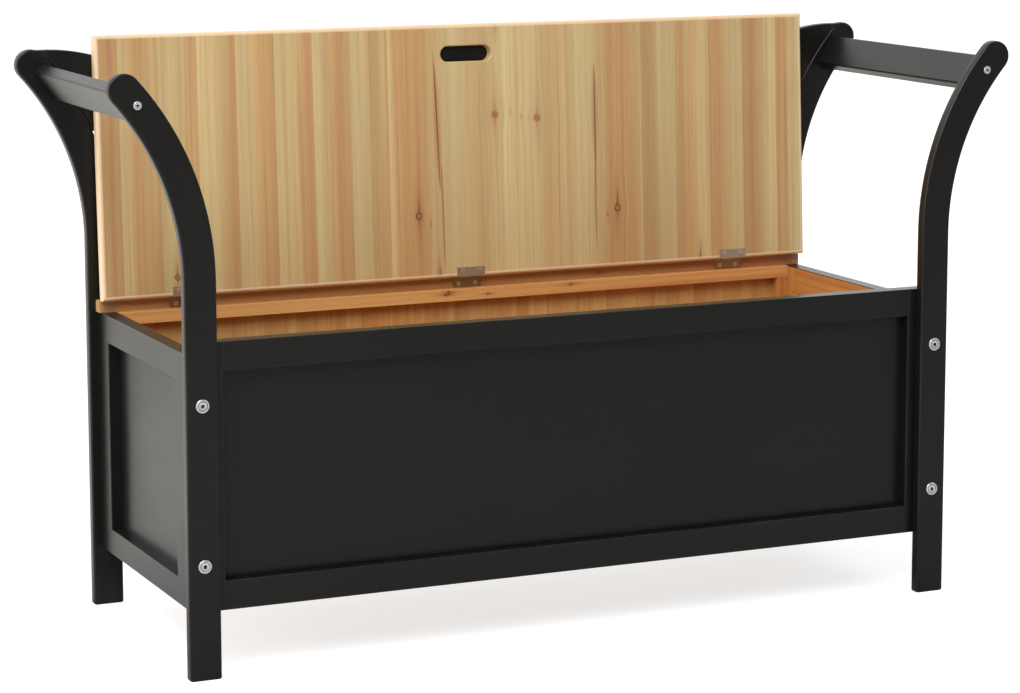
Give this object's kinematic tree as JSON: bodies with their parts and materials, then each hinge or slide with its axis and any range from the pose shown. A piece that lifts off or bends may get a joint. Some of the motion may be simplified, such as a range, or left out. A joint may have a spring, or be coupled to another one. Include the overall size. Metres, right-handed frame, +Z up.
{
  "type": "storage bench",
  "caption": "Low wooden bench whose seat lifts to reach a storage box, with board legs that curve outward into armrests joined by bars and a shaped backrest rail.",
  "frame": {"origin": "on the floor, in the middle of the four feet", "axes": "+X along the bench to the right as seen from the front, +Y to the back, +Z up"},
  "size_m": [1.26, 0.4244, 0.7666],
  "materials": {
    "black_paint": "black satin paint on wood",
    "pine_lacquer": "clear satin lacquer on pine",
    "tenon_wood": "bare planed tenon",
    "hinge_steel": "dull nickel plate",
    "zinc_steel": "bright zinc plate"
  },
  "bodies": {
    "bench_frame": {"arm_bolts": "zinc_steel", "back_left_leg": "black_paint", "back_leg_bolts": "zinc_steel", "back_panel": "pine_lacquer", "back_right_leg": "black_paint", "back_top_batten": "pine_lacquer", "backrest_rail": "black_paint", "bottom_front_batten": "pine_lacquer", "bottom_left_batten": "pine_lacquer", "bottom_panel": "pine_lacquer", "bottom_rear_batten": "pine_lacquer", "bottom_right_batten": "pine_lacquer", "front_bottom_rail": "black_paint", "front_left_leg": "black_paint", "front_left_stile": "black_paint", "front_leg_bolts": "zinc_steel", "front_panel": "black_paint", "front_right_leg": "black_paint", "front_right_stile": "black_paint", "front_top_rail": "black_paint", "left_arm_bar": "black_paint", "left_hinge_strip_leaf": "hinge_steel", "left_side_bottom_rail": "black_paint", "left_side_front_stile": "black_paint", "left_side_panel": "black_paint", "left_side_rear_stile": "black_paint", "left_side_top_rail": "black_paint", "middle_hinge_strip_leaf": "hinge_steel", "rail_tenons": "tenon_wood", "rear_left_cleat": "pine_lacquer", "rear_right_cleat": "pine_lacquer", "right_arm_bar": "black_paint", "right_hinge_strip_leaf": "hinge_steel", "right_side_bottom_rail": "black_paint", "right_side_front_stile": "black_paint", "right_side_panel": "black_paint", "right_side_rear_stile": "black_paint", "right_side_top_rail": "black_paint", "seat_strip": "pine_lacquer"},
    "seat_lid": {"left_hinge_lid_leaf": "hinge_steel", "lid": "pine_lacquer", "middle_hinge_lid_leaf": "hinge_steel", "right_hinge_lid_leaf": "hinge_steel"}
  },
  "joints": [
    {"name": "lid_hinge", "type": "hinge", "parent": "bench_frame", "child": "seat_lid", "pos_m": [0, 0.1773, 0.416], "axis": [1, 0, 0], "range_deg": [0, 93.02]}
  ]
}
